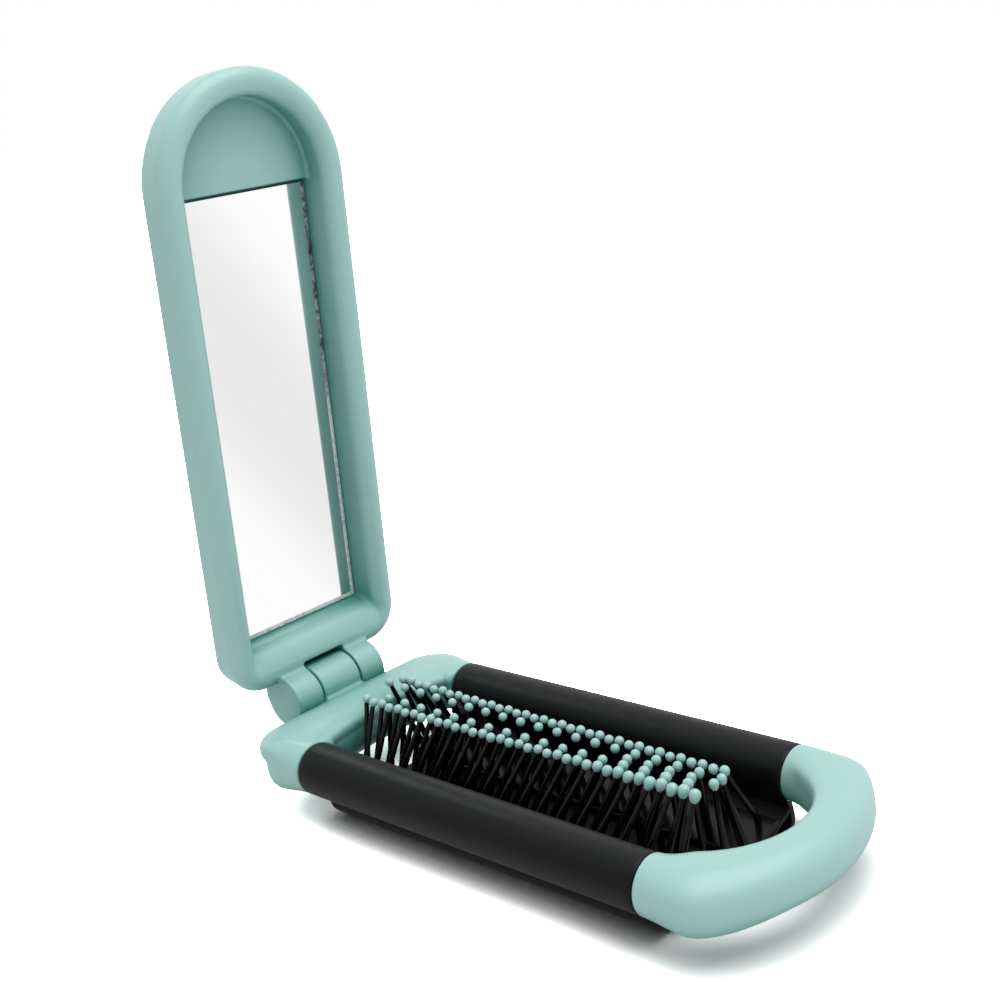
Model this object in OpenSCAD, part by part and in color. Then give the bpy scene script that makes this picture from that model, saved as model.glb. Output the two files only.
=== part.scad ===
// Folding hairbrush with a mirror in its cover.
// A loop frame of two gripped rails carries a rubber pad with ball-tipped pins, and a
// hinged cover with a mirror closes over the pins or opens flat to serve as the handle.
// The part stands on the lower edges of its grips, +X runs from hinge to nose, +Z is up.

/* [Loop frame] */
// Distance between the centre lines of the two rails
rail_spacing = 39.5; // [38:0.1:46]
// Length of the soft grips along the rails
grip_len = 76.7; // [60:0.1:96]
// Diameter of the grips, and height of the loop frame
bar_d = 9.6; // [8.6:0.1:11]
// Height of the rail centre lines above the surface the brush stands on
rail_z = 10.6; // [10:0.1:13]
// Reach of the rounded nose past the grips
nose_len = 20.7; // [19:0.1:24]
// Thickness of the nose bar at its middle
nose_w = 8.2; // [7.5:0.1:10]
// Distance that the middle of the nose stands ahead of its corners
nose_bulge = 7.3; // [4:0.1:9]
// Radius of the nose corners
nose_corner_r = 4.7; // [3:0.1:7]
// Reach of the hinge end past the grips
heel_len = 15.4; // [13:0.1:17]
// Distance from the grips to the inner side of the hinge-end bar at its middle
heel_gap = 2.8; // [2:0.1:5]
// Radius of the hinge-end corners
heel_corner_r = 7; // [5:0.1:9]
// Distance that the upper part of the hinge-end bar stands proud of its lower part
heel_step = 1.2; // [0.3:0.1:1.5]
// Diameter of the rods inside the grips
rod_d = 6; // [4:0.1:6.5]
// Depth of the sockets that hold the rods
socket_depth = 8; // [5:0.1:9]

/* [Side walls of the cushion] */
// Thickness of the walls that hang below the grips
wall_t = 1; // [0.8:0.1:1.4]
// Distance that the walls swell outwards past the inner sides of the grips
wall_swell = 2.25; // [1.5:0.05:3]
// Depth below the rail centre lines where the walls are furthest apart
wall_belly = 7.6; // [6.5:0.1:8]
// Radius of the curve of a wall above its widest place
wall_r = 9; // [8:0.5:14]
// Width of the foot, from the widest place of the wall inwards
foot_w = 7.7; // [6:0.1:8.5]
// Radius of the lower corners at the ends of the walls
wall_end_r = 2.5; // [2:0.5:6]

/* [Hinge] */
// Distance of the hinge axis behind the grips
hinge_back = 19.2; // [18.5:0.1:21]
// Radius of the hinge barrels
barrel_r = 5.1; // [4:0.1:5.3]
// Half length of the middle barrel
knuckle_half = 4.7; // [3.5:0.1:6]
// Length of each ear along the axis
ear_len = 6; // [4:0.1:8]
// Diameter of the hinge pin
hinge_pin_d = 2; // [1.6:0.1:3]
// Length of the hinge pin
hinge_pin_len = 18; // [15:0.5:19]

/* [Cover] */
// Lean of the open cover towards the pins, from upright
cover_lean = 3.9; // [0:0.1:10]
// Width of the cover
cover_w = 41; // [38:0.1:46]
// Distance from the hinge axis to the centre of the rounded top
cover_straight = 98; // [80:0.1:118]
// Distance from the hinge axis to the lower edge of the cover
cover_foot = 3.6; // [3.4:0.1:5.5]
// Depth of the cover from lip to back
cover_depth = 8.8; // [8.6:0.1:12]
// Width of the rim along the sides and the top
rim_w = 5; // [4:0.1:6]
// Width of the rim along the lower edge
foot_rim_w = 8.2; // [6:0.1:9]
// Radius of the lower corners of the cover
cover_corner_r = 7; // [5.5:0.1:9]
// Depth from the lip to the mirror
mirror_depth = 7; // [6.4:0.1:7.2]
// Thickness of the mirror glass
mirror_t = 0.8; // [0.6:0.1:1]
// Thickness of the adhesive sheet behind the mirror
tape_t = 0.2; // [0.1:0.1:0.4]
// Height of the half-round ledge above the mirror, in front of the glass
ledge_h = 1.3; // [0.5:0.1:2]
// Distance from the centre of the rounded top down to the lower edge of the ledge
ledge_drop = 1; // [0:0.1:3]

/* [Pins] */
// Distance between neighbouring pins of one row
pin_pitch = 4.32; // [3.6:0.01:5.5]
// Diameter of a pin at its root
pin_root_d = 1.3; // [1:0.05:1.6]
// Diameter of a pin at its tip
pin_tip_d = 0.85; // [0.6:0.05:1]
// Diameter of the ball tips
ball_d = 1.66; // [1.3:0.01:1.7]
// Height of the ball centres above the rail centre lines
tip_rise = 6.7; // [5:0.1:7]
// Distance of the inner, middle and outer balls from the centre plane
tip_y = [2.4, 4.8, 5.3];
// Distance of the inner, middle and outer pin roots from the centre plane
root_y = [5.6, 10, 12];
// Share by which the rows of balls draw together from the hinge to the nose
tip_taper = 0.18; // [0:0.01:0.2]
// Extra height of the balls over the hinge ends of the grips
tip_lift = 0.45; // [0:0.05:0.6]
// Place of the first front ball in the inner, middle and outer row, from the grips
front_phase = [2.15, -1.5, 0.9];
// Place of the first rear ball in the inner, middle and outer row, from the grips
rear_phase = [-2.9, -1.6, 0.3];
// Length of the short centre row, back from the nose-side ends of the grips
centre_reach = 19.2; // [10:0.1:36]
// Lean of the pins along the brush, from root to tip
pin_lean_x = 5; // [0:0.1:5.8]

/* [Pad] */
// Half width of the thick middle of the pad, which the finger pushes
keel_half = 4.2; // [3:0.1:5]
// Thickness of the middle of the pad
keel_t = 1; // [0.8:0.1:1.5]
// Height of the pad above the surface the brush stands on
pad_lift = 0.5; // [0.3:0.1:1]
// Thickness of the thin rubber beside the middle
web_t = 0.7; // [0.5:0.1:1]
// Radius of the curve of the rubber pad across the brush
web_r = 36; // [30:0.5:60]
// Thickness of the strips that hold the pins
strip_t = 1.2; // [1:0.1:1.6]
// Room between the outer edge of a pin strip and the side wall
strip_room = 3.8; // [3.6:0.1:4.2]

/* [Fits] */
// Gap between pieces that move past each other
gap = 0.3; // [0.2:0.05:0.4]
// Radial clearance of the hinge pin in its bores
pin_fit = 0.05; // [0.01:0.01:0.1]
// Clearance round the mirror glass
glass_fit = 0.15; // [0.1:0.05:0.3]
// Radial clearance of the rods in the sockets and grips
rod_fit = 0.02; // [0.01:0.01:0.1]

/* [Hidden] */

MINT = "#a9d3cd";
BLACK = "#202122";
round_fn = 64;
small_fn = 24;

// Places along X, with the whole brush centred on the origin
cover_edge_r = 2;
wall_taper = 0.5;
back_reach = hinge_back + (cover_depth - cover_edge_r) * cos(cover_lean) + cover_edge_r
    - (cover_foot + wall_taper + cover_edge_r) * sin(cover_lean);
grip_x0 = (back_reach - grip_len - nose_len) / 2;
grip_x1 = grip_x0 + grip_len;
hinge_x = grip_x0 - hinge_back;
hinge_z = rail_z + bar_d / 2 + gap;
rail_y = rail_spacing / 2;
outer_y = rail_y + bar_d / 2;
inner_y = rail_y - bar_d / 2;
wall_y = inner_y + wall_swell;
foot_in = wall_y - foot_w;
strip_y = wall_y - strip_room;

// ---- Loop frame ----

// Half outline of a loop end, from the grip to the middle: side, rounded corner, curved front.
// Points are [reach past the grip, distance from the centre plane]; the middle of the front
// stands ahead of the corners by the bulge.
corner_steps = 7;
front_steps = 9;
function half_outline(side_y, reach, corner_r, bulge) =
    let (corner_c = reach - corner_r - bulge,
         corner_y = side_y - corner_r,
         front_c = corner_c + bulge / 2 - pow(corner_y, 2) / (2 * bulge),
         front_r = reach - front_c,
         turn = atan2(corner_y, corner_c - front_c))
    concat(
        [[0, side_y]],
        [for (i = [0 : corner_steps])
            let (a = 90 - (90 - turn) * i / corner_steps)
            [corner_c + corner_r * cos(a), corner_y + corner_r * sin(a)]],
        [for (i = [1 : front_steps])
            let (a = turn * (1 - i / front_steps))
            [front_c + front_r * cos(a), front_r * sin(a)]]);

function whole_outline(half) =
    concat(half, [for (i = [len(half) - 2 : -1 : 0]) [half[i][0], -half[i][1]]]);

// One point of a squarish oval: power 2 is an ellipse, higher powers are squarer
function soft(v, power) = sign(v) * pow(abs(v), 2 / power);
section_steps = 20;
function oval(power) =
    [for (i = [0 : section_steps - 1])
        let (a = 360 * i / section_steps)
        [soft(cos(a), power), soft(sin(a), power)]];

// The section is an ellipse at the grips and squarer round the end
end_power = 2;
loop_power = 2.6;
power_steps = 5;
function ring_share(i, last) = min(1, min(i, last - i) / power_steps);
function ring_power(i, last) = end_power + (loop_power - end_power) * ring_share(i, last);

// A ring reaches from the height low to the top of the bar
function loop_ring(outer, inner, power, low) =
    let (mid = (outer + inner) / 2,
         half = (outer - inner) / 2,
         mid_z = (bar_d / 2 + low) / 2,
         half_z = (bar_d / 2 - low) / 2)
    [for (p = oval(power))
        [mid[0] + half[0] * p[0], mid[1] + half[1] * p[0], mid_z + half_z * p[1]]];

// Solid through a list of closed rings, with flat ends
module skin(rings) {
    n = len(rings[0]);
    last = len(rings) - 1;
    points = [for (ring = rings) each ring];
    sides = [for (k = [0 : last - 1], i = [0 : n - 1])
        let (j = (i + 1) % n)
        each [[k * n + i, (k + 1) * n + j, k * n + j], [k * n + i, (k + 1) * n + i, (k + 1) * n + j]]];
    caps = [[for (i = [0 : n - 1]) i], [for (i = [n - 1 : -1 : 0]) last * n + i]];
    polyhedron(points = points, faces = concat(sides, caps));
}

// Solid end of the loop; away from the grips its underside lies at the height low
module loop_end(outer, inner, low) {
    last = len(outer) - 1;
    skin([for (k = [0 : last])
        let (ring_low = -bar_d / 2 + (low + bar_d / 2) * ring_share(k, last))
        loop_ring(outer[k], inner[k], ring_power(k, last), ring_low)]);
}

// Inner outlines: the corner radius and the bulge follow the reach
nose_gap = nose_len - nose_w;
nose_inner_r = min(0.6 * nose_gap, 0.48 * inner_y);
nose_outer = whole_outline(half_outline(outer_y, nose_len, nose_corner_r, nose_bulge));
nose_inner = whole_outline(half_outline(inner_y, nose_gap, nose_inner_r, 0.34 * nose_gap));
heel_bulge = 0.3;
heel_outer = whole_outline(half_outline(outer_y, heel_len, heel_corner_r, heel_bulge));
heel_lower = whole_outline(half_outline(outer_y, heel_len - heel_step, heel_corner_r, heel_bulge));
heel_slab_low = -0.6;
heel_inner = whole_outline(half_outline(inner_y, heel_gap, 0.43 * heel_gap, 0.5 * heel_gap));

module rod_sockets(x0, x1) {
    for (side = [-1, 1])
        translate([x0, side * rail_y, rail_z])
            rotate([0, 90, 0])
                cylinder(h = x1 - x0, d = rod_d + 2 * rod_fit, $fn = round_fn);
}

module nose_bar() {
    color(MINT)
        difference() {
            translate([grip_x1, 0, rail_z])
                loop_end(nose_outer, nose_inner, -bar_d / 2);
            rod_sockets(grip_x1 - 1, grip_x1 + socket_depth);
        }
}

module along_hinge(from_y, to_y, r) {
    translate([hinge_x, from_y, hinge_z])
        rotate([-90, 0, 0])
            cylinder(h = to_y - from_y, r = r, $fn = round_fn);
}

// The web joins the middle barrel to the bar
web_overlap = 3;
web_reach = hinge_back - heel_len + web_overlap;
web_top = 0.4;
module hinge_web() {
    translate([hinge_x, -knuckle_half, hinge_z - barrel_r])
        cube([web_reach, 2 * knuckle_half, rail_z + bar_d / 2 - web_top - hinge_z + barrel_r]);
}

module hinge_end_bar() {
    ear_out = knuckle_half + gap + ear_len;
    color(MINT)
        difference() {
            union() {
                translate([grip_x0, 0, rail_z])
                    mirror([1, 0, 0]) {
                        loop_end(heel_outer, heel_inner, heel_slab_low);
                        loop_end(heel_lower, heel_inner, -bar_d / 2);
                    }
                along_hinge(-knuckle_half, knuckle_half, barrel_r);
                hinge_web();
            }
            along_hinge(knuckle_half, ear_out + gap, barrel_r + gap);
            along_hinge(-ear_out - gap, -knuckle_half, barrel_r + gap);
            along_hinge(-knuckle_half - 1, knuckle_half + 1, hinge_pin_d / 2 + pin_fit);
            rod_sockets(grip_x0 - socket_depth, grip_x0 + 1);
        }
}

module hinge_pin() {
    color("silver")
        along_hinge(-hinge_pin_len / 2, hinge_pin_len / 2, hinge_pin_d / 2);
}

module rail_rod(side) {
    color(MINT)
        translate([grip_x0 - socket_depth, side * rail_y, rail_z])
            rotate([0, 90, 0])
                cylinder(h = grip_len + 2 * socket_depth, d = rod_d, $fn = round_fn);
}
module front_rail_rod() { rail_rod(-1); }
module rear_rail_rod() { rail_rod(1); }

// ---- Grips ----

// Section of a wall: it leaves the grip, widens, and turns inwards into a flat foot
wall_steps = 8;
wall_turn_r = rail_z - wall_t - wall_belly;
wall_top = 0.7 * bar_d / 2;
wall_top_a = asin(min(0.9, (wall_belly - wall_top) / wall_r));
function wall_face(out) = concat(
    [for (i = [0 : wall_steps])
        let (a = wall_top_a * (1 - i / wall_steps))
        [wall_y - wall_r + (wall_r + out) * cos(a), rail_z - wall_belly + (wall_r + out) * sin(a)]],
    [for (i = [1 : wall_steps])
        let (a = -90 * i / wall_steps)
        [wall_y - wall_turn_r + (wall_turn_r + out) * cos(a), rail_z - wall_belly + (wall_turn_r + out) * sin(a)]],
    [[foot_in, wall_t - out]]);
function reversed(list) = [for (i = [len(list) - 1 : -1 : 0]) list[i]];
wall_section = concat(wall_face(0), reversed(wall_face(wall_t)));

// Side view of a wall, with its lower corners rounded
module wall_side() {
    hull() {
        translate([0, rail_z - 1])
            square([grip_len, 1]);
        translate([wall_end_r, wall_end_r])
            circle(r = wall_end_r, $fn = round_fn);
        translate([grip_len - wall_end_r, wall_end_r])
            circle(r = wall_end_r, $fn = round_fn);
    }
}

module rail_bore(side, d) {
    translate([grip_x0 - 1, side * rail_y, rail_z])
        rotate([0, 90, 0])
            cylinder(h = grip_len + 2, d = d, $fn = round_fn);
}

module grip(side) {
    color(BLACK)
        difference() {
            translate([grip_x0, side * rail_y, rail_z])
                rotate([0, 90, 0])
                    cylinder(h = grip_len, d = bar_d, $fn = round_fn);
            rail_bore(side, rod_d + 2 * rod_fit);
        }
}

module wall(side) {
    color(BLACK)
        difference() {
            intersection() {
                translate([grip_x0, 0, 0])
                    rotate([90, 0, 90])
                        linear_extrude(height = grip_len)
                            polygon([for (p = wall_section) [side * p[0], p[1]]]);
                translate([grip_x0, outer_y, 0])
                    rotate([90, 0, 0])
                        linear_extrude(height = 2 * outer_y)
                            wall_side();
            }
            rail_bore(side, bar_d + 2 * rod_fit);
        }
}
module front_wall() { wall(-1); }
module rear_wall() { wall(1); }
module front_grip() { grip(-1); }
module rear_grip() { grip(1); }

// ---- Rubber pad ----

pad_x0 = grip_x0;
pad_x1 = grip_x1;
pad_len = pad_x1 - pad_x0;
web_z0 = pad_lift + keel_t / 2 - 0.1;
function web_z(y) = web_z0 + web_r - sqrt(pow(web_r, 2) - pow(y, 2));

web_steps = 10;
module web(side) {
    web_in = keel_half + 0.1;
    ys = [for (i = [0 : web_steps]) web_in + (wall_y - web_in) * i / web_steps];
    color(BLACK)
        translate([pad_x0, 0, 0])
            rotate([90, 0, 90])
                linear_extrude(height = pad_len)
                    polygon(concat(
                        [for (y = ys) [side * y, web_z(y) - web_t / 2]],
                        [for (i = [web_steps : -1 : 0]) [side * ys[i], web_z(ys[i]) + web_t / 2]]));
}
module front_web() { web(-1); }
module rear_web() { web(1); }

module push_pad() {
    color(BLACK)
        translate([pad_x0, -keel_half, pad_lift])
            cube([pad_len, 2 * keel_half, keel_t]);
}

// The strips lie just clear of the rubber and slope up from a round bead beside the middle,
// on which they tilt
strip_lift = web_t / 2 + 0.1 + strip_t / 2;
bead_y = keel_half + gap + strip_t / 2;
bead_z = web_z(bead_y) + strip_lift;
strip_slope = atan2(web_z(strip_y) + strip_lift - bead_z, strip_y - bead_y);
strip_w = (strip_y - bead_y) / cos(strip_slope);
function strip_top(y) = bead_z + (y - bead_y) * tan(strip_slope) + strip_t / 2 / cos(strip_slope);

module pin_strip(side) {
    color(BLACK)
        translate([pad_x0, side * bead_y, bead_z])
            rotate([90, 0, 90])
                linear_extrude(height = pad_len)
                    mirror([side > 0 ? 0 : 1, 0])
                        rotate(strip_slope)
                            union() {
                                circle(d = strip_t, $fn = small_fn);
                                translate([0, -strip_t / 2])
                                    square([strip_w, strip_t]);
                            }
}
module front_pin_strip() { pin_strip(-1); }
module rear_pin_strip() { pin_strip(1); }

// ---- Pins ----

root_sink = 0.5;
end_margin = 1.5;
hinge_turn = 9.2;
hinge_fade = 13;
hinge_tip = -3.4;
nose_turn = 5.8;
nose_fade = 6;
nose_tip = grip_len - nose_fade / 3;
centre_lean = 1;
// Shift of a root along X against its ball: towards the hinge, and inwards at both ends
function root_shift(x) =
    -pin_lean_x + hinge_turn * exp((hinge_tip - x) / hinge_fade) + nose_turn * exp((x - nose_tip) / nose_fade);
function row_count(phase) = floor((grip_len - end_margin - phase) / pin_pitch) + 1;

// Ball centre and pin root of one pin; row 0 is inner, 1 middle, 2 outer
lift_fade = 9;
function ball_at(side, row, x) =
    [grip_x0 + x,
     side * tip_y[row] * (1 - tip_taper * x / grip_len),
     rail_z + tip_rise + tip_lift * exp(-x / lift_fade)];
function root_at(side, row, x) =
    [grip_x0 + x + root_shift(x), side * root_y[row], strip_top(root_y[row])];

module pin(root, ball) {
    reach = ball - root;
    length = norm(reach);
    sunk = root - reach / length * root_sink;
    translate(sunk)
        rotate([0, acos(reach[2] / length), atan2(reach[1], reach[0])])
            cylinder(h = length + root_sink, d1 = pin_root_d, d2 = pin_tip_d, $fn = small_fn);
}

module pin_row(side, row, phase) {
    color(BLACK)
        for (i = [0 : row_count(phase) - 1]) {
            x = phase + pin_pitch * i;
            pin(root_at(side, row, x), ball_at(side, row, x));
        }
}

module tip_row(side, row, phase) {
    color(MINT)
        for (i = [0 : row_count(phase) - 1])
            translate(ball_at(side, row, phase + pin_pitch * i))
                sphere(d = ball_d, $fn = small_fn);
}

module front_inner_pins() { pin_row(-1, 0, front_phase[0]); }
module front_middle_pins() { pin_row(-1, 1, front_phase[1]); }
module front_outer_pins() { pin_row(-1, 2, front_phase[2]); }
module rear_inner_pins() { pin_row(1, 0, rear_phase[0]); }
module rear_middle_pins() { pin_row(1, 1, rear_phase[1]); }
module rear_outer_pins() { pin_row(1, 2, rear_phase[2]); }
module front_inner_tips() { tip_row(-1, 0, front_phase[0]); }
module front_middle_tips() { tip_row(-1, 1, front_phase[1]); }
module front_outer_tips() { tip_row(-1, 2, front_phase[2]); }
module rear_inner_tips() { tip_row(1, 0, rear_phase[0]); }
module rear_middle_tips() { tip_row(1, 1, rear_phase[1]); }
module rear_outer_tips() { tip_row(1, 2, rear_phase[2]); }

// Short row that stands on the middle of the pad near the nose
centre_phase = grip_len - centre_reach;
function centre_ball(x) = [grip_x0 + x, 0, rail_z + tip_rise];
module centre_pins() {
    color(BLACK)
        for (i = [0 : row_count(centre_phase) - 1]) {
            x = centre_phase + pin_pitch * i;
            pin([grip_x0 + x + centre_lean, 0, pad_lift + keel_t], centre_ball(x));
        }
}
module centre_tips() {
    color(MINT)
        for (i = [0 : row_count(centre_phase) - 1])
            translate(centre_ball(centre_phase + pin_pitch * i))
                sphere(d = ball_d, $fn = small_fn);
}

// ---- Cover ----

// Cover pieces are drawn with the hinge axis along Y at the origin, the lip in the plane
// x = 0, the back towards -x and the cover rising along +z.
module on_cover() {
    translate([hinge_x, 0, hinge_z])
        rotate([0, cover_lean, 0])
            children();
}

half_w = cover_w / 2;
lip_r = rim_w / 2;
round_steps = 8;
recess_half = half_w - rim_w;
floor_t = cover_depth - mirror_depth - mirror_t - tape_t;

// Rim section as [distance from the outer face, depth]: rounded lip, rounded back edge
function rim_profile(width) = concat(
    [for (i = [0 : round_steps])
        let (a = 180 - 90 * i / round_steps)
        [lip_r + lip_r * cos(a), -lip_r + lip_r * sin(a)]],
    [for (i = [0 : round_steps])
        let (a = 90 - 90 * i / round_steps)
        [width - lip_r + lip_r * cos(a), -lip_r + lip_r * sin(a)]],
    [[width, -cover_depth]],
    [for (i = [0 : round_steps])
        let (a = 270 - 90 * i / round_steps)
        [wall_taper + cover_edge_r + cover_edge_r * cos(a), -cover_depth + cover_edge_r + cover_edge_r * sin(a)]]);

// The lower rim is wider: a rounded slope runs from its lip down to the mirror
slope_depth = 5.5;
slope_w = foot_rim_w - lip_r;
slope_back = cover_depth - 0.5;
function slope_profile() = concat(
    [for (i = [0 : round_steps])
        let (a = 90 * i / round_steps)
        [lip_r + slope_w * sin(a), -slope_depth * (1 - cos(a))]],
    [[foot_rim_w, -slope_back], [lip_r, -slope_back]]);

module side_rim(side) {
    translate([0, side * half_w, cover_foot + cover_corner_r])
        linear_extrude(height = cover_straight - cover_foot - cover_corner_r)
            polygon([for (p = rim_profile(rim_w)) [p[1], -side * p[0]]]);
}

// Quarter or half ring of rim about an axis along X; angles run from +Y towards +Z
module rim_arc(outer_r, a0, sweep) {
    rotate([a0, 0, 0])
        rotate([90, 0, 90])
            rotate_extrude(angle = sweep, $fn = 2 * round_fn)
                polygon([for (p = rim_profile(rim_w)) [max(0, outer_r - p[0]), p[1]]]);
}

// A profile extruded along Y between -reach and reach, above the lower edge of the cover
module foot_bar(profile, reach) {
    translate([0, reach, cover_foot])
        rotate([90, 0, 0])
            linear_extrude(height = 2 * reach)
                polygon([for (p = profile) [p[1], p[0]]]);
}

module cover_outline(inset) {
    hull() {
        translate([0, cover_straight])
            circle(r = half_w - inset, $fn = 2 * round_fn);
        for (side = [-1, 1])
            translate([side * (half_w - cover_corner_r), cover_foot + cover_corner_r])
                circle(r = cover_corner_r - inset, $fn = round_fn);
    }
}

// Draws a plan shape of the cover, [y, z] in the plane, between two depths. Plates reach
// into the rim by the overlap.
overlap = 1;
module cover_layer(from_depth, to_depth) {
    translate([-to_depth, 0, 0])
        rotate([90, 0, 90])
            linear_extrude(height = to_depth - from_depth)
                children();
}

foot_top = cover_foot + foot_rim_w;
ledge_low = cover_straight - ledge_drop;
module mirror_outline(clearance) {
    translate([-recess_half + clearance, foot_top + clearance])
        square([2 * (recess_half - clearance), ledge_low - foot_top - 2 * clearance]);
}

module ledge_outline() {
    intersection() {
        translate([0, cover_straight])
            circle(r = recess_half + overlap, $fn = 2 * round_fn);
        translate([-half_w, ledge_low])
            square([cover_w, half_w]);
    }
}

// Squares off the inner corners behind the slope of the lower rim
module foot_plate() {
    translate([-recess_half - overlap, cover_foot + rim_w - overlap])
        square([2 * (recess_half + overlap), foot_rim_w - rim_w + overlap]);
}

// Each ear is a barrel with a shoulder that runs up into the lower edge of the cover
pocket_h = 2.6;
ear_back = barrel_r + 0.5;
ear_front = 0.2;
ear_top = cover_foot + 2;
module ear(side) {
    inner = knuckle_half + gap;
    translate([0, side > 0 ? inner : -inner - ear_len, 0])
        hull() {
            rotate([-90, 0, 0])
                cylinder(h = ear_len, r = barrel_r, $fn = round_fn);
            translate([-ear_back, 0, 0])
                cube([ear_back - ear_front, ear_len, ear_top]);
        }
}

// Wall behind the middle barrel, which closes the pocket between the ears
pocket_wall = 1;
pocket_wall_low = 0.5;
module pocket_back() {
    translate([-barrel_r - gap - pocket_wall, -knuckle_half - gap - overlap, pocket_wall_low])
        cube([pocket_wall, 2 * (knuckle_half + gap + overlap), ear_top - pocket_wall_low]);
}

module cover_shell() {
    pin_end = hinge_pin_len / 2 + gap;
    color(MINT)
        on_cover()
            difference() {
                union() {
                    side_rim(-1);
                    side_rim(1);
                    foot_bar(rim_profile(rim_w), half_w - cover_corner_r);
                    foot_bar(slope_profile(), recess_half + overlap / 2);
                    translate([0, 0, cover_straight])
                        rim_arc(half_w, 0, 180);
                    translate([0, half_w - cover_corner_r, cover_foot + cover_corner_r])
                        rim_arc(cover_corner_r, 270, 90);
                    translate([0, cover_corner_r - half_w, cover_foot + cover_corner_r])
                        rim_arc(cover_corner_r, 180, 90);
                    cover_layer(cover_depth - floor_t, cover_depth)
                        cover_outline(wall_taper + cover_edge_r + overlap);
                    cover_layer(mirror_depth - ledge_h, cover_depth)
                        ledge_outline();
                    cover_layer(slope_depth, cover_depth)
                        foot_plate();
                    ear(-1);
                    ear(1);
                    pocket_back();
                }
                translate([-barrel_r - gap, -knuckle_half - gap, -barrel_r - 1])
                    cube([cover_depth, 2 * (knuckle_half + gap), barrel_r + 1 + cover_foot + pocket_h]);
                translate([0, -pin_end, 0])
                    rotate([-90, 0, 0])
                        cylinder(h = 2 * pin_end, r = hinge_pin_d / 2 + pin_fit, $fn = round_fn);
            }
}

module mirror_glass() {
    color("white")
        on_cover()
            cover_layer(mirror_depth, mirror_depth + mirror_t)
                mirror_outline(glass_fit);
}

module mirror_tape() {
    tape_inset = 1;
    color("gray")
        on_cover()
            cover_layer(mirror_depth + mirror_t, mirror_depth + mirror_t + tape_t)
                mirror_outline(tape_inset);
}

cover_shell();
mirror_glass();
mirror_tape();
hinge_pin();
hinge_end_bar();
nose_bar();
front_rail_rod();
rear_rail_rod();
front_grip();
rear_grip();
front_wall();
rear_wall();
front_web();
rear_web();
push_pad();
front_pin_strip();
rear_pin_strip();
front_inner_pins();
front_middle_pins();
front_outer_pins();
rear_inner_pins();
rear_middle_pins();
rear_outer_pins();
centre_pins();
front_inner_tips();
front_middle_tips();
front_outer_tips();
rear_inner_tips();
rear_middle_tips();
rear_outer_tips();
centre_tips();
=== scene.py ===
import bpy
import math
import numpy as np
from mathutils import Matrix, Vector


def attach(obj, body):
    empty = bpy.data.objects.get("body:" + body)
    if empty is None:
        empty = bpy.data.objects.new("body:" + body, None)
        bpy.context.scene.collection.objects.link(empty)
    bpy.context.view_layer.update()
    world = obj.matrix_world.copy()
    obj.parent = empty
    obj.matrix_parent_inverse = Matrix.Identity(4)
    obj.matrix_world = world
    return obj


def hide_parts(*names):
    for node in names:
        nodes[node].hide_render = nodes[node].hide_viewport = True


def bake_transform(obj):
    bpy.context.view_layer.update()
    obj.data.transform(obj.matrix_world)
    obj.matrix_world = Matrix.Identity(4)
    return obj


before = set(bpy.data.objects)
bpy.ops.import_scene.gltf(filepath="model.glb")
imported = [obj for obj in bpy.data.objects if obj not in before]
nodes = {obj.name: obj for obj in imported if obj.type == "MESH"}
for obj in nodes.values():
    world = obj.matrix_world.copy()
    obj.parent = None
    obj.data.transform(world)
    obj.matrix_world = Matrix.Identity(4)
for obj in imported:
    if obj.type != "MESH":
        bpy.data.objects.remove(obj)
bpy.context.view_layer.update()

# Nose bar: one solid moulding of satin mint plastic that closes the loop at the far end. It
# is round where it meets the soft sleeves and squarer round the nose, and a blind socket in
# each end takes the rod that carries the sleeve.
MM = 0.001  # the sizes of all pieces are in millimetres


def new_finish(name):
    material = bpy.data.materials.new(name)
    material.use_nodes = True
    tree = material.node_tree
    return material, tree, tree.nodes["Principled BSDF"]


# Sets a socket to a number or a colour, or joins it to the output of another node.
def feed(tree, socket, value):
    if isinstance(value, bpy.types.NodeSocket):
        tree.links.new(value, socket)
    else:
        socket.default_value = value


def ranged(tree, value, start, end, low=0.0, high=1.0, curve="LINEAR"):
    node = tree.nodes.new("ShaderNodeMapRange")
    node.interpolation_type = curve
    feed(tree, node.inputs["Value"], value)
    feed(tree, node.inputs["From Min"], start)
    feed(tree, node.inputs["From Max"], end)
    feed(tree, node.inputs["To Min"], low)
    feed(tree, node.inputs["To Max"], high)
    return node.outputs["Result"]


def mixed(tree, share, one, other, kind="RGBA"):
    node = tree.nodes.new("ShaderNodeMix")
    node.data_type = kind
    feed(tree, node.inputs["Factor"], share)
    feed(tree, node.inputs["A"], one)
    feed(tree, node.inputs["B"], other)
    return node.outputs["Result"]


# Cloudy patches in the plastic or rubber, so many to the metre.
def patches(tree, per_metre, detail=3.0, stretch=(1, 1, 1)):
    place = tree.nodes.new("ShaderNodeTexCoord")
    mapping = tree.nodes.new("ShaderNodeMapping")
    mapping.inputs["Scale"].default_value = stretch
    clouds = tree.nodes.new("ShaderNodeTexNoise")
    clouds.inputs["Scale"].default_value = per_metre
    clouds.inputs["Detail"].default_value = detail
    tree.links.new(place.outputs["Object"], mapping.inputs["Vector"])
    tree.links.new(mapping.outputs["Vector"], clouds.inputs["Vector"])
    return clouds.outputs["Fac"]


# A value that drifts between low and high. The patches themselves run from about 0.3 to 0.7.
def drifting(tree, low, high, per_metre, detail=3.0, stretch=(1, 1, 1)):
    return ranged(tree, patches(tree, per_metre, detail, stretch), 0.3, 0.7, low, high)


def two_tone(tree, one, other, per_metre, detail=3.0):
    return mixed(tree, drifting(tree, 0, 1, per_metre, detail), one, other)


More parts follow.
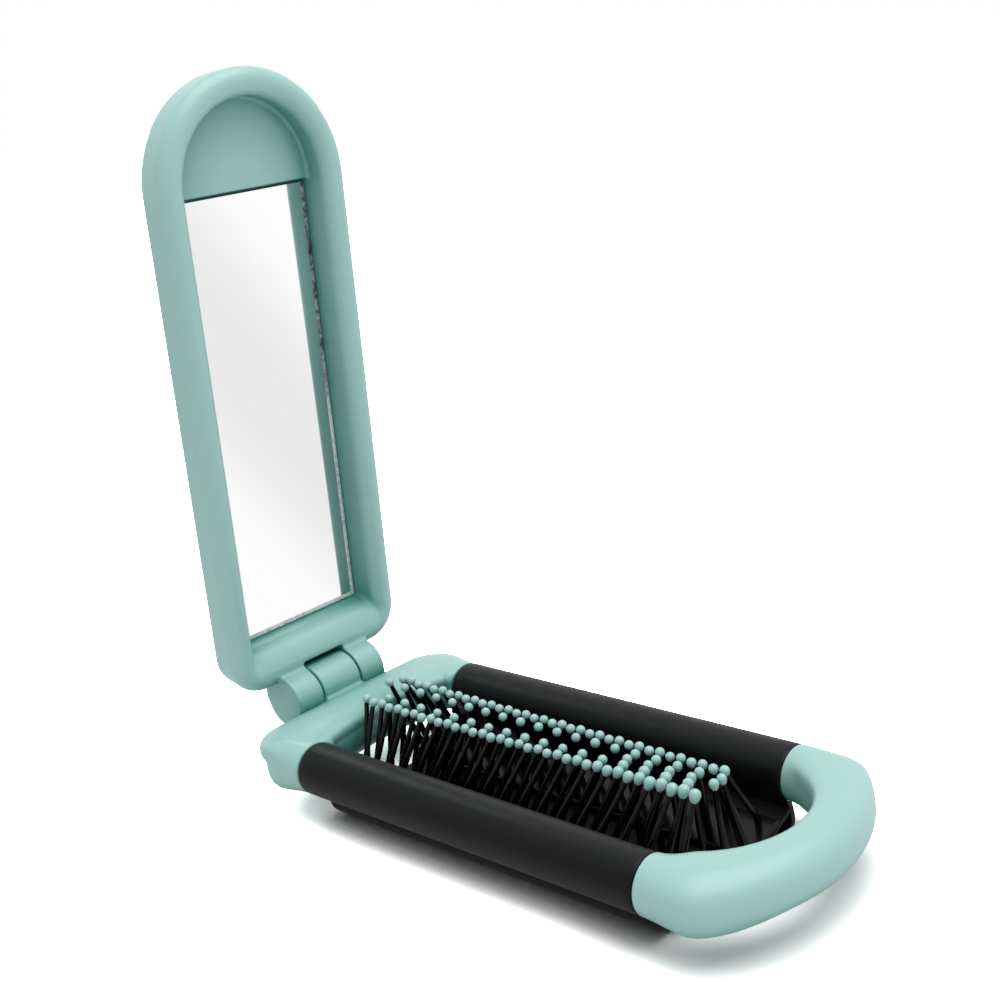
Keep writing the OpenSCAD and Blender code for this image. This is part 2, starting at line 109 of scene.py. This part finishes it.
# Fine relief in the surface, of so many metres in height.
def grain(tree, shader, height, per_metre, detail=3.0):
    node = tree.nodes.new("ShaderNodeBump")
    node.inputs["Distance"].default_value = height
    node.inputs["Strength"].default_value = 1.0
    tree.links.new(patches(tree, per_metre, detail), node.inputs["Height"])
    tree.links.new(node.outputs["Normal"], shader.inputs["Normal"])


# The mint plastic, with painted shade: an ambient occlusion tint darkens its colour in crevices and
# recesses.
mint, tree, shader = new_finish("mint_plastic")
mint_shade = (0.358, 0.615, 0.582, 1)
mint_light = (0.371, 0.628, 0.596, 1)
painted_crevice_shade = (0.075, 0.31, 0.265, 1)
crevice_shade_ao = tree.nodes.new("ShaderNodeAmbientOcclusion")
crevice_shade_ao.inputs["Distance"].default_value = 0.011
crevice_shade_ao.samples = 6
unshaded_share = ranged(tree, crevice_shade_ao.outputs["AO"], 0.5, 0.95)
plain_mint = two_tone(tree, mint_shade, mint_light, 25, 0)
# Painted shade: the mint is mixed towards the dark crevice colour where the occlusion is deep.
feed(tree, shader.inputs["Base Color"], mixed(tree, unshaded_share, painted_crevice_shade, plain_mint))
feed(tree, shader.inputs["Roughness"], drifting(tree, 0.275, 0.3, 40, 0))
grain(tree, shader, 0.00001, 45, 0)

rail_y = 19.75
rail_z = 10.6
bar_r = 4.8
outer_y = rail_y + bar_r
inner_y = rail_y - bar_r
sleeve_x0 = -34.9153
sleeve_x1 = 41.7847
end_round = 0.5


# Half of an outline of the loop from above: straight on from the sleeve, round a corner, and
# along the flatter curve of the front, which bulges by so much. The first points lie close
# together, for the rounded end at the sleeve.
def half_outline(side_y, reach, corner_r, bulge, steps=26):
    corner_x = reach - corner_r - bulge
    corner_y = side_y - corner_r
    front_x = corner_x + bulge / 2 - corner_y ** 2 / (2 * bulge)
    front_r = reach - front_x
    turn = math.atan2(corner_y, corner_x - front_x)
    line = [(corner_x * share, side_y) for share in (0, 0.012, 0.03, 0.06)]
    line += [(corner_x * i / 12, side_y) for i in range(1, 12)]
    for i in range(steps + 1):
        a = math.pi / 2 - (math.pi / 2 - turn) * i / steps
        line.append((corner_x + corner_r * math.cos(a), corner_y + corner_r * math.sin(a)))
    for i in range(1, steps + 1):
        a = turn * (1 - i / steps)
        line.append((front_x + front_r * math.cos(a), front_r * math.sin(a)))
    return line


def whole_outline(half):
    return half + [(x, -y) for x, y in reversed(half[:-1])]


# The inner line is walked at the pace of the outer one, so that the rings stay square to it.
def paced(line, guide):
    line = np.array(line)
    own, other = (np.r_[0, np.cumsum(np.linalg.norm(np.diff(run, axis=0), axis=1))]
                  for run in (line, guide))
    return np.stack([np.interp(other / other[-1], own / own[-1], line[:, i]) for i in (0, 1)], 1)


def ease(value):
    value = max(0.0, min(1.0, value))
    return value * value * (3 - 2 * value)


# A closed soft curve through a few control points, fitted to a square of side 2.
def soft_section(control, around=72):
    control = np.array(control, float)
    points = []
    for t in np.arange(around) / around * len(control):
        i, f = int(t), t - int(t)
        pulls = ((1 - f) ** 3 / 6, (3 * f ** 3 - 6 * f ** 2 + 4) / 6,
                 (-3 * f ** 3 + 3 * f ** 2 + 3 * f + 1) / 6, f ** 3 / 6)
        points.append(sum(pull * control[(i + k - 1) % len(control)] for k, pull in enumerate(pulls)))
    points = np.array(points)
    low, high = points.min(0), points.max(0)
    return (points - low) / (high - low) * 2 - 1


# Faces between rings of points that lie one behind another.
def skin(rings, around, closed=False):
    faces = []
    for k in range(rings if closed else rings - 1):
        here, ahead = k * around, (k + 1) % rings * around
        for i in range(around):
            j = (i + 1) % around
            faces.append((here + i, here + j, ahead + j, ahead + i))
    return faces


# A bar swept between an outer and an inner outline. It is round at the sleeves, takes the
# corner section within the fade, and turns from that into the front section.
def loop_bar(outer, inner, low, corner, front, fade, front_from=14):
    outer, inner = np.array(outer), np.array(inner)
    around = len(corner)
    turn = np.arctan2(corner[:, 1], corner[:, 0])
    circle = np.stack((np.cos(turn), np.sin(turn)), 1)
    walked = np.r_[0, np.cumsum(np.linalg.norm(np.diff(outer, axis=0), axis=1))]
    verts = []
    for k in range(len(outer)):
        along = min(walked[k], walked[-1] - walked[k])
        share, ahead = ease(along / fade), ease((along - front_from) / front_from)
        section = circle + share * ((1 - ahead) * corner + ahead * front - circle)
        ring_low = -bar_r + (low + bar_r) * share
        mid_z, half_z = (bar_r + ring_low) / 2, (bar_r - ring_low) / 2
        mid, half = (outer[k] + inner[k]) / 2, (outer[k] - inner[k]) / 2
        short = max(0, 1 - along / end_round)
        full = 1 - (1 - math.sqrt(1 - short ** 2)) * end_round / bar_r
        verts += [(*(mid + half * p), mid_z + half_z * q) for p, q in section * full]
    faces = skin(len(outer), around)
    faces.append(tuple(reversed(range(around))))
    faces.append(tuple((len(outer) - 1) * around + i for i in range(around)))
    return np.array(verts), faces


def piece(name, verts, faces, material=None):
    mesh = bpy.data.meshes.new(name)
    mesh.from_pydata([tuple(v) for v in np.array(verts) * MM], [], faces)
    if material:
        mesh.materials.append(material)
    made = bpy.data.objects.new(name, mesh)
    bpy.context.scene.collection.objects.link(made)
    bpy.context.view_layer.objects.active = made
    bpy.ops.object.mode_set(mode="EDIT")
    bpy.ops.mesh.select_all(action="SELECT")
    bpy.ops.mesh.normals_make_consistent(inside=False)
    bpy.ops.object.mode_set(mode="OBJECT")
    return made


def apply_modifier(made, kind, **settings):
    modifier = made.modifiers.new(kind.lower(), kind)
    for key, value in settings.items():
        setattr(modifier, key, value)
    bpy.context.view_layer.objects.active = made
    bpy.ops.object.modifier_apply(modifier=modifier.name)


def round_bar(start, end, radius, sides=64):
    start, end = np.array(start, float), np.array(end, float)
    across = Vector(end - start).to_track_quat("Z", "Y").to_matrix()
    side, up = np.array(across.col[0]), np.array(across.col[1])
    turns = [2 * math.pi * i / sides for i in range(sides)]
    verts = [at + radius * (math.cos(a) * side + math.sin(a) * up) for at in (start, end) for a in turns]
    faces = skin(2, sides)
    faces += [tuple(reversed(range(sides))), tuple(range(sides, 2 * sides))]
    return np.array(verts), faces


def cut(made, *solids):
    for solid in solids:
        tool = piece("cutter", *solid)
        apply_modifier(made, "BOOLEAN", operation="DIFFERENCE", solver="FAST", object=tool)
        bpy.data.objects.remove(tool)


rod_hole_r = 3.02
socket_depth = 8
cut_past_end = 1


def rod_sockets(x0, x1):
    return [round_bar((x0, side * rail_y, rail_z), (x1, side * rail_y, rail_z), rod_hole_r)
            for side in (-1, 1)]


# Edges sharper than the crease stay crisp under the smooth shading.
def smooth(mesh, crease=32):
    for face in mesh.polygons:
        face.use_smooth = True
    mesh.set_sharp_from_angle(angle=math.radians(crease))


def finish_piece(made, body, replaced, crease=32):
    smooth(made.data, crease)
    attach(made, body)
    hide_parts(*replaced)


# The points run from the outer side over the top and back along the underside, whose outer
# corner is cut away more at the front than at the corners.
def nose_section(under_x, under_z):
    outer_side = [(1.06, 0), (0.99, 0.62)]
    flat_top = [(0.325, 1), (0, 1.04), (-0.82, 1.06)]
    inner_side = [(-1.09, 0.78), (-1.08, 0.1), (-1.06, -0.6)]
    underside = [(-0.7, -1.05), (0, -1.05), (under_x, -1.05), (1.05, under_z)]
    return soft_section(outer_side + flat_top + inner_side + underside)


nose_reach = 20.7
nose_corner_r = 5.7
nose_bulge = 7.24
opening_reach = 12.55
opening_corner_r = 0.56 * inner_y
opening_bulge = 4.28
nose_fade = 10
nose_outer = whole_outline(half_outline(outer_y, nose_reach, nose_corner_r, nose_bulge))
nose_inner = whole_outline(half_outline(inner_y, opening_reach, opening_corner_r, opening_bulge))
verts, faces = loop_bar(nose_outer, paced(nose_inner, nose_outer), -bar_r,
                        nose_section(0.79, -0.56), nose_section(0.36, -0.52), nose_fade)
nose = piece("nose_moulding", verts + np.array((sleeve_x1, 0, rail_z)), faces, mint)
cut(nose, *rod_sockets(sleeve_x1 - cut_past_end, sleeve_x1 + socket_depth))
finish_piece(nose, "frame", ["nose_bar"])

# Hinge end: the same mint plastic, moulded in one with the middle barrel of the hinge. A slab
# stands proud above the lower body, and round reliefs leave room for the cover's ears. The
# soft radius of the mould comes from remeshing the joined solids and smoothing them.
hinge_x = -54.1153
hinge_z = 15.7
hinge_gap = 0.3
barrel_r = 5.1
barrel_half = 4.7
ear_end = 11.3
pin_bore_r = 1.05
pin_bore_half = 6
neck_len = 6.8
neck_below_top = 0.4
heel_gap = 2.8
heel_gap_corner_r = 0.43 * heel_gap
heel_gap_bulge = 0.5 * heel_gap
heel_corner_r = 7
heel_bulge = 0.3
heel_fade = 9
slab_reach = 15.4
slab_low = -0.2
body_reach = 14.1
hinge_sides = 96
moulding_voxel = 0.25 * MM


def joined(*solids):
    verts, faces, count = [], [], 0
    for solid_verts, solid_faces in solids:
        verts.append(solid_verts)
        faces += [tuple(count + i for i in face) for face in solid_faces]
        count += len(solid_verts)
    return np.concatenate(verts), faces


# A round solid along the hinge axis.
def along_hinge(y0, y1, radius, sides=64):
    return round_bar((hinge_x, y0, hinge_z), (hinge_x, y1, hinge_z), radius, sides)


slab_section = soft_section([(1.05, 0), (1.02, 0.62), (0.5, 1.03), (0, 1.04), (-0.6, 1.04), (-1.04, 0.55),
                             (-1.05, 0), (-1, -0.6), (-0.5, -1.04), (0, -1.05), (0.7, -1.05), (1.05, -0.7)])
body_section = soft_section([(1.05, 0), (1, 0.6), (0.6, 1), (0, 1.05), (-0.6, 1), (-1.04, 0.5),
                             (-1.05, 0), (-1, -0.6), (-0.6, -1), (0, -1.05), (0.75, -1.05), (1.05, -0.75)])
heel_inner = whole_outline(half_outline(inner_y, heel_gap, heel_gap_corner_r, heel_gap_bulge))
solids = []
for reach, low, section in ((slab_reach, slab_low, slab_section), (body_reach, -bar_r, body_section)):
    heel_outer = whole_outline(half_outline(outer_y, reach, heel_corner_r, heel_bulge))
    verts, faces = loop_bar(heel_outer, heel_inner, low, section, section, heel_fade)
    solids.append((verts * np.array((-1, 1, 1)) + np.array((sleeve_x0, 0, rail_z)), faces))
solids.append(along_hinge(-barrel_half, barrel_half, barrel_r, hinge_sides))
neck = [(x, y, z) for x in (hinge_x, hinge_x + neck_len) for y in (-barrel_half, barrel_half)
        for z in (hinge_z - barrel_r, rail_z + bar_r - neck_below_top)]
neck_faces = [(0, 1, 3, 2), (4, 6, 7, 5), (0, 4, 5, 1), (2, 3, 7, 6), (0, 2, 6, 4), (1, 5, 7, 3)]
solids.append((np.array(neck), neck_faces))
heel = piece("hinge_end_moulding", *joined(*solids), mint)
apply_modifier(heel, "REMESH", mode="VOXEL", voxel_size=moulding_voxel)
cut(heel, *[along_hinge(side * barrel_half, side * ear_end, barrel_r + hinge_gap, hinge_sides)
            for side in (-1, 1)])
apply_modifier(heel, "REMESH", mode="VOXEL", voxel_size=moulding_voxel)
apply_modifier(heel, "SMOOTH", factor=0.5, iterations=6)
cut(heel, along_hinge(-pin_bore_half, pin_bore_half, pin_bore_r),
    *rod_sockets(sleeve_x0 - socket_depth, sleeve_x0 + cut_past_end))
finish_piece(heel, "frame", ["hinge_end_bar"])


# Rail rods: two plain rods of the mint plastic, set into the sockets of the nose bar and
# the hinge end. They hold the loop together and carry the sleeves, which hide them.
def dress(material, *names):
    for name in names:
        mesh = nodes[name].data
        mesh.materials.clear()
        mesh.materials.append(material)
        smooth(mesh)


dress(mint, "front_rail_rod", "rear_rail_rod")

# Cover: a mint lid with a half-round rim, a ledge above the mirror and two ears that
# straddle the middle barrel. It is one moulding, so its corners run soft into each other.
same_point = 0.000001
cover_voxel = 0.28 * MM
cover = bpy.data.objects.new("cover_moulding", nodes["cover_shell"].data.copy())
bpy.context.scene.collection.objects.link(cover)
cover.matrix_world = nodes["cover_shell"].matrix_world
cover.data.materials.clear()
cover.data.materials.append(mint)
apply_modifier(cover, "WELD", merge_threshold=same_point)
apply_modifier(cover, "REMESH", mode="VOXEL", voxel_size=cover_voxel)
apply_modifier(cover, "SMOOTH", factor=0.5, iterations=4)
finish_piece(cover, "cover", ["cover_shell"], crease=60)


# Mirror: a thin acrylic sheet, silvered behind, that lies in the recess of the lid. It is sawn
# to size, a fine line is scored just inside its edge, and the edge is lightly ground.
def worked(tree, operation, *values, clamp=False):
    node = tree.nodes.new("ShaderNodeMath")
    node.operation = operation
    node.use_clamp = clamp
    for socket, value in zip(node.inputs, values):
        feed(tree, socket, value)
    return node.outputs["Value"]


silver, tree, shader = new_finish("mirror")
shader.inputs["Metallic"].default_value = 1
feed(tree, shader.inputs["Roughness"], drifting(tree, 0.02, 0.05, 30))

# Painted shade in the reflection: the silvering is made a little greyer in a soft band that crosses the
# sheet aslant.
shade_band_slope = 1.37
shade_band_height = 0.0585
place = tree.nodes.new("ShaderNodeTexCoord")
aslant = tree.nodes.new("ShaderNodeVectorMath")
aslant.operation = "DOT_PRODUCT"
aslant.inputs[1].default_value = (0, shade_band_slope, 1)
tree.links.new(place.outputs["Object"], aslant.inputs[0])
from_shade_band = worked(tree, "ABSOLUTE", worked(tree, "SUBTRACT", aslant.outputs["Value"], shade_band_height))
feed(tree, shader.inputs["Base Color"],
     ranged(tree, from_shade_band, 0.008, 0.042, 0.82, 0.985, "SMOOTHSTEP"))

# Only the shading of the flat sheet leans by this angle, as if it bowed a little, so it reflects what is
# higher.
bow = math.radians(-11)
facing = tree.nodes.new("ShaderNodeNewGeometry")
tilt = tree.nodes.new("ShaderNodeVectorRotate")
tilt.rotation_type = "Y_AXIS"
tilt.inputs["Angle"].default_value = bow
tree.links.new(facing.outputs["Normal"], tilt.inputs["Vector"])
tree.links.new(tilt.outputs["Vector"], shader.inputs["Normal"])

# The ground edge is pale and flecked with dark chips from the saw; a painted highlight makes it bright by
# the hinge and dull higher up.
ground, tree, shader = new_finish("ground_edge")
chip_dark = (0.03, 0.035, 0.035, 1)
ground_bright = (0.92, 0.94, 0.95, 1)
place = tree.nodes.new("ShaderNodeTexCoord")
height = tree.nodes.new("ShaderNodeSeparateXYZ")
tree.links.new(place.outputs["Object"], height.inputs["Vector"])
# Painted highlight: the edge is brighter low on the sheet and duller higher up.
painted_glint_share = ranged(tree, height.outputs["Z"], 0.048, 0.066, 0.9, 0.25)
chips = drifting(tree, -0.35, 0.3, 900, 5)
chipped = worked(tree, "ADD", painted_glint_share, chips, clamp=True)
feed(tree, shader.inputs["Base Color"], mixed(tree, chipped, chip_dark, ground_bright))
feed(tree, shader.inputs["Roughness"], drifting(tree, 0.25, 0.5, 1200))

cover_lean = math.radians(3.9)
glass_half = 15.35
glass_low = 11.95
glass_top = 96.35


def sheet_ring(inset, depth):
    y, low = glass_half - inset, glass_low + inset
    return [(-depth, -y, low), (-depth, y, low), (-depth, y, glass_top), (-depth, -y, glass_top)]


# The rings run from the face over the scored line and the ground edge to the back. The top
# end is left square, where it butts against the ledge.
scored_line = [(0.95, 7.0), (0.85, 7.12), (0.75, 7.0)]
ground_rim = [(0.1, 7.05), (0, 7.3)]
back = [(0, 7.8)]
rings = [sheet_ring(inset, depth) for inset, depth in scored_line + ground_rim + back]
verts = [p for ring in rings for p in ring]
faces = [(0, 1, 2, 3)]
for k in range(len(rings) - 1):
    for i in (0, 1, 3):
        j = (i + 1) % 4
        faces.append((4 * k + i, 4 * k + 4 + i, 4 * k + 4 + j, 4 * k + j))
faces.append(tuple(4 * (len(rings) - 1) + i for i in (3, 2, 1, 0)))
faces.append((*range(2, 4 * len(rings), 4), *reversed(range(3, 4 * len(rings), 4))))
glass = piece("mirror_sheet", verts, faces, silver)
glass.data.materials.append(ground)
for face in list(glass.data.polygons)[1:]:
    face.material_index = 1
glass.matrix_world = (Matrix.Translation((hinge_x * MM, 0, hinge_z * MM))
                      @ Matrix.Rotation(cover_lean, 4, "Y"))
finish_piece(glass, "cover", ["mirror_glass"], crease=5)

# Mirror tape: a sheet of dark double-sided foam, cut a little smaller than the mirror, that
# holds it to the floor of the lid.
tape, tree, shader = new_finish("foam_tape")
feed(tree, shader.inputs["Base Color"],
     two_tone(tree, (0.10, 0.10, 0.10, 1), (0.20, 0.20, 0.20, 1), 2500, 4))
shader.inputs["Roughness"].default_value = 0.9
grain(tree, shader, 0.00004, 2500, 4)
dress(tape, "mirror_tape")

# Hinge pin: a drawn steel pin that joins both ears to the middle barrel and lies hidden
# inside them. Drawing leaves fine streaks along it.
steel, tree, shader = new_finish("steel_pin")
shader.inputs["Base Color"].default_value = (0.55, 0.55, 0.54, 1)
shader.inputs["Metallic"].default_value = 1
feed(tree, shader.inputs["Roughness"], drifting(tree, 0.2, 0.35, 900, 3, (1, 0.05, 1)))
dress(steel, "hinge_pin")

# Sleeves: tubes of black soft-touch rubber, pushed over the rail rods. Their ends are rolled
# and lie against the mint bars.
rubber, tree, shader = new_finish("black_rubber")
feed(tree, shader.inputs["Base Color"],
     two_tone(tree, (0.0035, 0.004, 0.004, 1), (0.005, 0.0055, 0.0055, 1), 300))
feed(tree, shader.inputs["Roughness"], drifting(tree, 0.4, 0.48, 400))
shader.inputs["Specular IOR Level"].default_value = 0.2
grain(tree, shader, 0.000004, 900)

roll_r = 0.7
roll_steps = 7
plain_from = 3
plain_steps = 15
sleeve_sides = 96
profile = [(sleeve_x0, rod_hole_r)]
profile += [(sleeve_x0 + roll_r * (1 - math.sin(a)), bar_r - roll_r * (1 - math.cos(a)))
            for a in np.linspace(math.pi / 2, 0, roll_steps)]
profile += [(x, bar_r)
            for x in np.linspace(sleeve_x0 + plain_from, sleeve_x1 - plain_from, plain_steps)]
profile += [(sleeve_x1 - roll_r * (1 - math.sin(a)), bar_r - roll_r * (1 - math.cos(a)))
            for a in np.linspace(0, math.pi / 2, roll_steps)]
profile.append((sleeve_x1, rod_hole_r))
turns = [2 * math.pi * i / sleeve_sides for i in range(sleeve_sides)]
for side, name in ((-1, "front"), (1, "rear")):
    verts = [(x, side * rail_y + r * math.cos(a), rail_z + r * math.sin(a))
             for x, r in profile for a in turns]
    sleeve = piece(name + "_sleeve", verts, skin(len(profile), sleeve_sides, closed=True), rubber)
    finish_piece(sleeve, "frame", [name + "_grip"], crease=50)

# Side walls and push pad: the walls hang under the sleeves and end in the feet that the brush
# stands on. They and the thick pad in the middle are one black rubber moulding with the webs.
dress(rubber, "front_wall", "rear_wall", "push_pad")

# Rubber webs: two thin cupped sheets of the same moulding, between the walls and the push
# pad. In the brush they flex as the pad is pushed up from below; here they are fixed sheets.
web_inner_y = 4.3
web_outer_y = 17.2
web_r = 36
web_centre_z = 36.9
web_half_t = 0.35
web_rings = 49
web_steps = 17
web_x = np.linspace(sleeve_x0, sleeve_x1, web_rings)
web_y = np.linspace(web_inner_y, web_outer_y, web_steps)
web_z = web_centre_z - np.sqrt(web_r ** 2 - web_y ** 2)
around = 2 * len(web_y)
for side, name in ((-1, "front_web"), (1, "rear_web")):
    verts = []
    for x in web_x:
        verts += [(x, side * y, z + web_half_t) for y, z in zip(web_y, web_z)]
        verts += [(x, side * y, z - web_half_t) for y, z in zip(web_y[::-1], web_z[::-1])]
    faces = skin(len(web_x), around)
    for end in (0, (len(web_x) - 1) * around):
        faces += [(end + i, end + i + 1, end + around - 2 - i, end + around - 1 - i)
                  for i in range(len(web_y) - 1)]
    web = piece(name + "_sheet", verts, faces, rubber)
    smooth(web.data)
    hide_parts(name)
    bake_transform(web)

# Pin strips and pins: hard, glossy black nylon. The rows of each side stand in a strip
# beside the pad, which tilts outwards as the pad comes up, and the short centre row stands
# in the pad itself.
hard_black, tree, shader = new_finish("black_plastic")
feed(tree, shader.inputs["Base Color"],
     two_tone(tree, (0.0015, 0.0016, 0.0016, 1), (0.0025, 0.0027, 0.0027, 1), 400))
feed(tree, shader.inputs["Roughness"], drifting(tree, 0.17, 0.23, 400))
shader.inputs["Specular IOR Level"].default_value = 0.25
rows = [(side + "_" + row, side + "_bank")
        for side in ("front", "rear") for row in ("inner", "middle", "outer")]
rows.append(("centre", "pad"))
dress(hard_black, "front_pin_strip", "rear_pin_strip", *[row + "_pins" for row, body in rows])

# Ball tips: drops of glossy mint enamel that the pins are dipped in. They set round where the
# pins stand upright, and run into longer drops on the leaning pins by the nose.
tip_mint, tree, shader = new_finish("mint_tips")
feed(tree, shader.inputs["Base Color"],
     two_tone(tree, (0.355, 0.612, 0.58, 1), (0.38, 0.64, 0.605, 1), 90))
feed(tree, shader.inputs["Roughness"], drifting(tree, 0.1, 0.15, 300))
shader.inputs["Specular IOR Level"].default_value = 0.7


# The points of each separate solid of a node.
def loose_parts(node):
    mesh = nodes[node].data
    points = np.empty(len(mesh.vertices) * 3)
    mesh.vertices.foreach_get("co", points)
    points = points.reshape(-1, 3)
    group = list(range(len(points)))

    def root(i):
        while group[i] != i:
            group[i] = group[group[i]]
            i = group[i]
        return i

    known = {}
    for i, point in enumerate(points):
        j = known.setdefault(tuple(np.round(point, 6)), i)
        group[root(i)] = root(j)
    for edge in mesh.edges:
        group[root(edge.vertices[0])] = root(edge.vertices[1])
    parts = {}
    for i in range(len(points)):
        parts.setdefault(root(i), []).append(i)
    return [points[index] for index in parts.values()]


# A drop round a centre, in metres, whose tail runs down the pin and slims towards it.
def drop(centre, axis, radius, tail, rings=16, sides=20):
    side = np.cross(axis, (0, 1, 0))
    side /= np.linalg.norm(side)
    other = np.cross(axis, side)
    slimming = 1.2 * tail / 1.1
    verts = [centre + radius * axis]
    for k in range(1, rings):
        a = math.pi * k / rings
        lower = a >= math.pi / 2
        up = math.cos(a) * (tail if lower else 1)
        out = math.sin(a) ** (slimming if lower else 1)
        for i in range(sides):
            b = 2 * math.pi * i / sides
            verts.append(centre + radius * (up * axis + out * (math.cos(b) * side + math.sin(b) * other)))
    verts.append(centre - radius * tail * axis)
    faces = []
    last = 1 + (rings - 2) * sides
    for i in range(sides):
        j = (i + 1) % sides
        faces.append((0, 1 + i, 1 + j))
        for here in range(1, last, sides):
            faces.append((here + i, here + sides + i, here + sides + j, here + j))
        faces.append((last + i, last + sides, last + j))
    return np.array(verts), faces


lean_from = 10
lean_over = 24
nose_swell = 0.17
upright_tail = 1.12
nose_tail = 0.6
chance = np.random.default_rng(7)
for row, body in rows:
    pins = loose_parts(row + "_pins")
    middles = np.array([(pin.min(0) + pin.max(0)) / 2 for pin in pins])
    drops = []
    for ball in loose_parts(row + "_tips"):
        centre = (ball.min(0) + ball.max(0)) / 2
        radius = (ball.max(0) - ball.min(0)).max() / 2
        own = np.argmin([np.linalg.norm(pin - centre, axis=1).min() for pin in pins])
        axis = (centre - middles[own]) / np.linalg.norm(centre - middles[own])
        near_nose = ease((centre[0] / MM - lean_from) / lean_over)
        radius *= chance.uniform(0.95, 1.02) + (nose_swell * near_nose if body == "front_bank" else 0)
        tail = upright_tail + nose_tail * near_nose + chance.uniform(0, 0.12)
        drops.append(drop(centre, axis, radius, tail))
    verts, faces = joined(*drops)
    dipped = piece(row + "_drops", verts / MM, faces, tip_mint)
    finish_piece(dipped, body, [row + "_tips"], crease=80)

# Studio floor: a wide pale sheet. It carries a painted shadow under the object, made from ambient
# occlusion, which is deepest by the nose and fades towards the hinge, and it shows as a bright card in what
# is glossy.
bpy.ops.mesh.primitive_plane_add(size=30, location=(0, 0, 0))
floor = bpy.context.object
floor.name = "floor"
pale, tree, shader = new_finish("floor")
path = tree.nodes.new("ShaderNodeLightPath")
painted_shadow_ao = tree.nodes.new("ShaderNodeAmbientOcclusion")
painted_shadow_ao.inputs["Distance"].default_value = 0.012
painted_shadow_ao.samples = 14
place = tree.nodes.new("ShaderNodeTexCoord")
across = tree.nodes.new("ShaderNodeSeparateXYZ")
tree.links.new(place.outputs["Object"], across.inputs["Vector"])
# How fast the painted shadow clears away from the object: at once by the hinge, slowly by the nose.
painted_shadow_fade = ranged(tree, across.outputs["X"], 0.02, 0.06, 7, 2.2, "SMOOTHSTEP")
shade = ranged(tree, painted_shadow_ao.outputs["AO"], 0.2, 0.95, 0.15, painted_shadow_fade)
diffuse = tree.nodes.new("ShaderNodeBsdfDiffuse")
feed(tree, diffuse.inputs["Color"],
     mixed(tree, path.outputs["Is Camera Ray"], (0.8, 0.8, 0.8, 1), shade))
glow = tree.nodes.new("ShaderNodeEmission")
# Painted shade in reflections: the glow is dimmer on the front side and darkened by occlusion near the
# object.
card = ranged(tree, across.outputs["Y"], -0.12, 0.06, 0.45, 1)
feed(tree, glow.inputs["Strength"], worked(tree, "MULTIPLY", card, painted_shadow_ao.outputs["AO"], clamp=True))
choose = tree.nodes.new("ShaderNodeMixShader")
tree.links.new(path.outputs["Is Glossy Ray"], choose.inputs["Fac"])
tree.links.new(diffuse.outputs["BSDF"], choose.inputs[1])
tree.links.new(glow.outputs["Emission"], choose.inputs[2])
tree.links.new(choose.outputs["Shader"], tree.nodes["Material Output"].inputs["Surface"])
floor.data.materials.append(pale)

# Studio light: white surroundings, a little darker towards one side in what is glossy, a
# large lamp overhead and a small one at the upper left for a crisp highlight.
world = bpy.data.worlds.new("studio")
bpy.context.scene.world = world
world.use_nodes = True
tree = world.node_tree
sky = tree.nodes["Background"]
sky.inputs["Color"].default_value = (1, 1, 1, 1)
path = tree.nodes.new("ShaderNodeLightPath")
place = tree.nodes.new("ShaderNodeTexCoord")
across = tree.nodes.new("ShaderNodeSeparateXYZ")
tree.links.new(place.outputs["Generated"], across.inputs["Vector"])
card = ranged(tree, across.outputs["Y"], -0.6, 0.2, 0.6, 1)
seen_by_gloss = mixed(tree, path.outputs["Is Glossy Ray"], 0.6, card, "FLOAT")
feed(tree, sky.inputs["Strength"],
     mixed(tree, path.outputs["Is Camera Ray"], seen_by_gloss, 1, "FLOAT"))

brush_middle = Vector((0, 0, 0.03))


def softbox(name, place, size, power):
    data = bpy.data.lights.new(name, "AREA")
    data.shape = "DISK"
    data.size = size
    data.energy = power
    lamp = bpy.data.objects.new(name, data)
    lamp.location = place
    lamp.rotation_euler = (brush_middle - Vector(place)).to_track_quat("-Z", "Y").to_euler()
    bpy.context.scene.collection.objects.link(lamp)


softbox("overhead", (0.2, 0.1, 0.9), 1.0, 5.4)
softbox("upper_left", (-0.35, -0.42, 0.75), 0.03, 0.085)

# Camera: it stands off the front corner of the nose, a little above the brush and rolled
# slightly, with a lens of normal angle.
camera_data = bpy.data.cameras.new("camera")
camera_data.sensor_width = 36
camera_data.sensor_fit = "HORIZONTAL"
camera_data.lens = 53.01
camera_data.clip_start = 0.01
camera = bpy.data.objects.new("camera", camera_data)
bpy.context.scene.collection.objects.link(camera)
camera_place = (0.16815, -0.16421, 0.12723)
azimuth = math.radians(45.41)
elevation = math.radians(16.09)
roll = math.radians(7.9)
forward = Vector((-math.sin(azimuth) * math.cos(elevation), math.cos(azimuth) * math.cos(elevation),
                  -math.sin(elevation)))
camera.matrix_world = (Matrix.Translation(camera_place)
                       @ forward.to_track_quat("-Z", "Y").to_matrix().to_4x4()
                       @ Matrix.Rotation(-roll, 4, "Z"))
bpy.context.scene.camera = camera
bpy.context.scene.view_settings.view_transform = "Standard"
